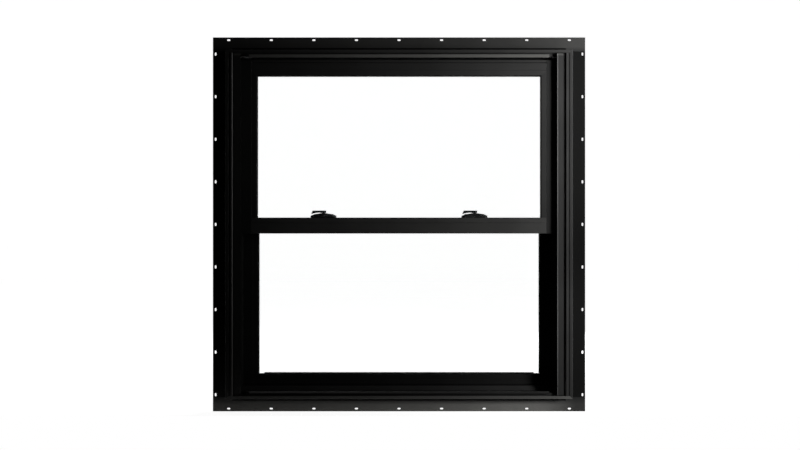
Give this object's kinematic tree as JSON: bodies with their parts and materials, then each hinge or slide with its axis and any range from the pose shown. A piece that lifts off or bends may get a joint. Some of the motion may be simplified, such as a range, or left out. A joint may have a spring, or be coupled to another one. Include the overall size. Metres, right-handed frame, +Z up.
{
  "type": "double hung window",
  "caption": "Square double hung window: black mitred frame with a slotted nailing fin, two sliding sashes with clear double glazing, a meeting rail and cam locks.",
  "frame": {"origin": "on the back face of the sill's nailing fin, at mid width and mid height of that fin", "axes": "+X to the right seen from outside, +Y from outside to inside, +Z up"},
  "size_m": [0.888, 0.088, 0.892],
  "materials": {
    "frame": "satin black extrusion",
    "fin": "matte black extrusion",
    "sash": "satin black extrusion",
    "bead": "satin black extrusion",
    "glass": "clear float glass",
    "spacer": "matte black",
    "hardware": "satin black paint",
    "shoe": "moulded",
    "balance": "galvanised",
    "seal": "matte"
  },
  "bodies": {
    "window": {"frame_head": "frame", "frame_sill": "frame", "frame_jamb_left": "frame", "frame_jamb_right": "frame", "jamb_cover_left": "frame", "jamb_cover_right": "frame", "head_stop": "frame", "sill_stop": "frame", "nail_fin_head": "fin", "nail_fin_sill": "fin", "nail_fin_left": "fin", "nail_fin_right": "fin", "upper_top_rail": "sash", "upper_meeting_rail": "sash", "upper_stile_left": "sash", "upper_stile_right": "sash", "lower_check_rail": "sash", "lower_bottom_rail": "sash", "lower_stile_left": "sash", "lower_stile_right": "sash", "upper_bead_top": "bead", "upper_bead_left": "bead", "upper_bead_right": "bead", "lower_bead_bottom": "bead", "lower_bead_left": "bead", "lower_bead_right": "bead", "upper_glass_outer": "glass", "upper_glass_inner": "glass", "lower_glass_outer": "glass", "lower_glass_inner": "glass", "upper_spacer": "spacer", "lower_spacer": "spacer", "lock_base_left": "hardware", "lock_base_right": "hardware", "lock_keeper_left": "hardware", "lock_keeper_right": "hardware", "tilt_latch_left": "hardware", "tilt_latch_right": "hardware", "upper_balance_shoes": "shoe", "lower_balance_shoes": "shoe", "lower_balance_channels": "balance", "head_pile": "seal", "meeting_pile": "seal", "sill_seal": "seal"},
    "left_lever": {"lock_lever_left": "hardware"},
    "right_lever": {"lock_lever_right": "hardware"}
  },
  "joints": [
    {"name": "left_lever_turn", "type": "hinge", "parent": "window", "child": "left_lever", "pos_m": [-0.18175, 0.025, 0.45625], "axis": [0, 0, -1], "range_deg": [0, 165]},
    {"name": "right_lever_turn", "type": "hinge", "parent": "window", "child": "right_lever", "pos_m": [0.18175, 0.025, 0.45625], "axis": [0, 0, -1], "range_deg": [0, 165]}
  ]
}
